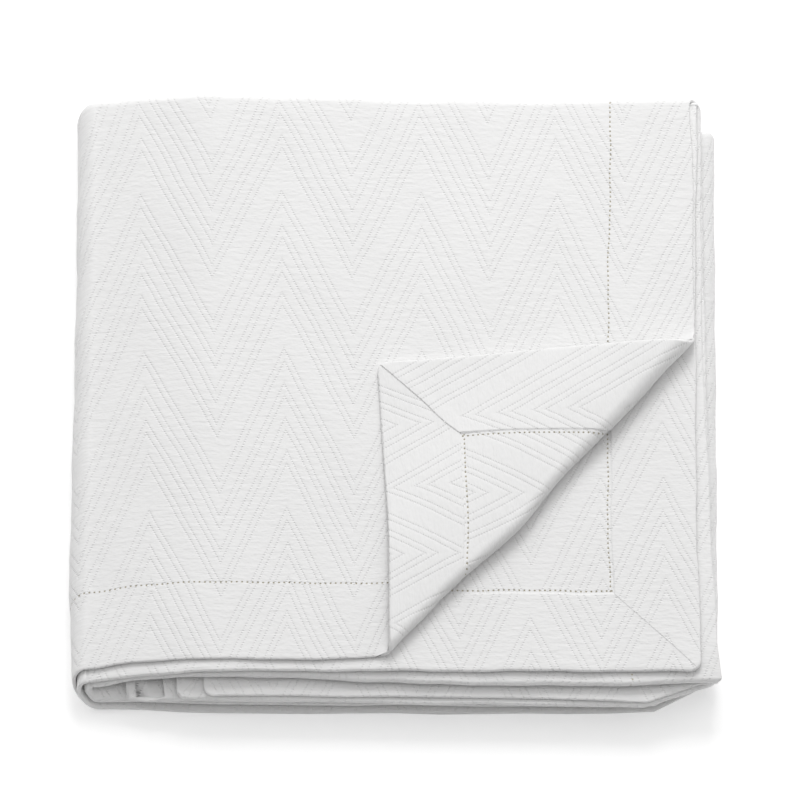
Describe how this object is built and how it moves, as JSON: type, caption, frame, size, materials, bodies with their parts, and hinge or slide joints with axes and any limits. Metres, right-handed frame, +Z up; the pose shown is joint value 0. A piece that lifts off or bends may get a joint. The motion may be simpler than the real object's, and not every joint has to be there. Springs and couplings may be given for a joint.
{
  "type": "folded coverlet",
  "caption": "Folded white cotton coverlet with raised chevron lines, a wide mitred hem edged with drawn-thread holes, and its top corner turned back.",
  "frame": {"origin": "under the middle of the folded pile, on the surface it rests on", "axes": "+X right along the front edges, +Y towards the back fold, +Z up through the layers"},
  "size_m": [0.647, 0.6568, 0.083],
  "materials": {
    "cotton": "matt white matelasse weave"
  },
  "bodies": {
    "root": {"coverlet": "cotton"}
  },
  "joints": []
}
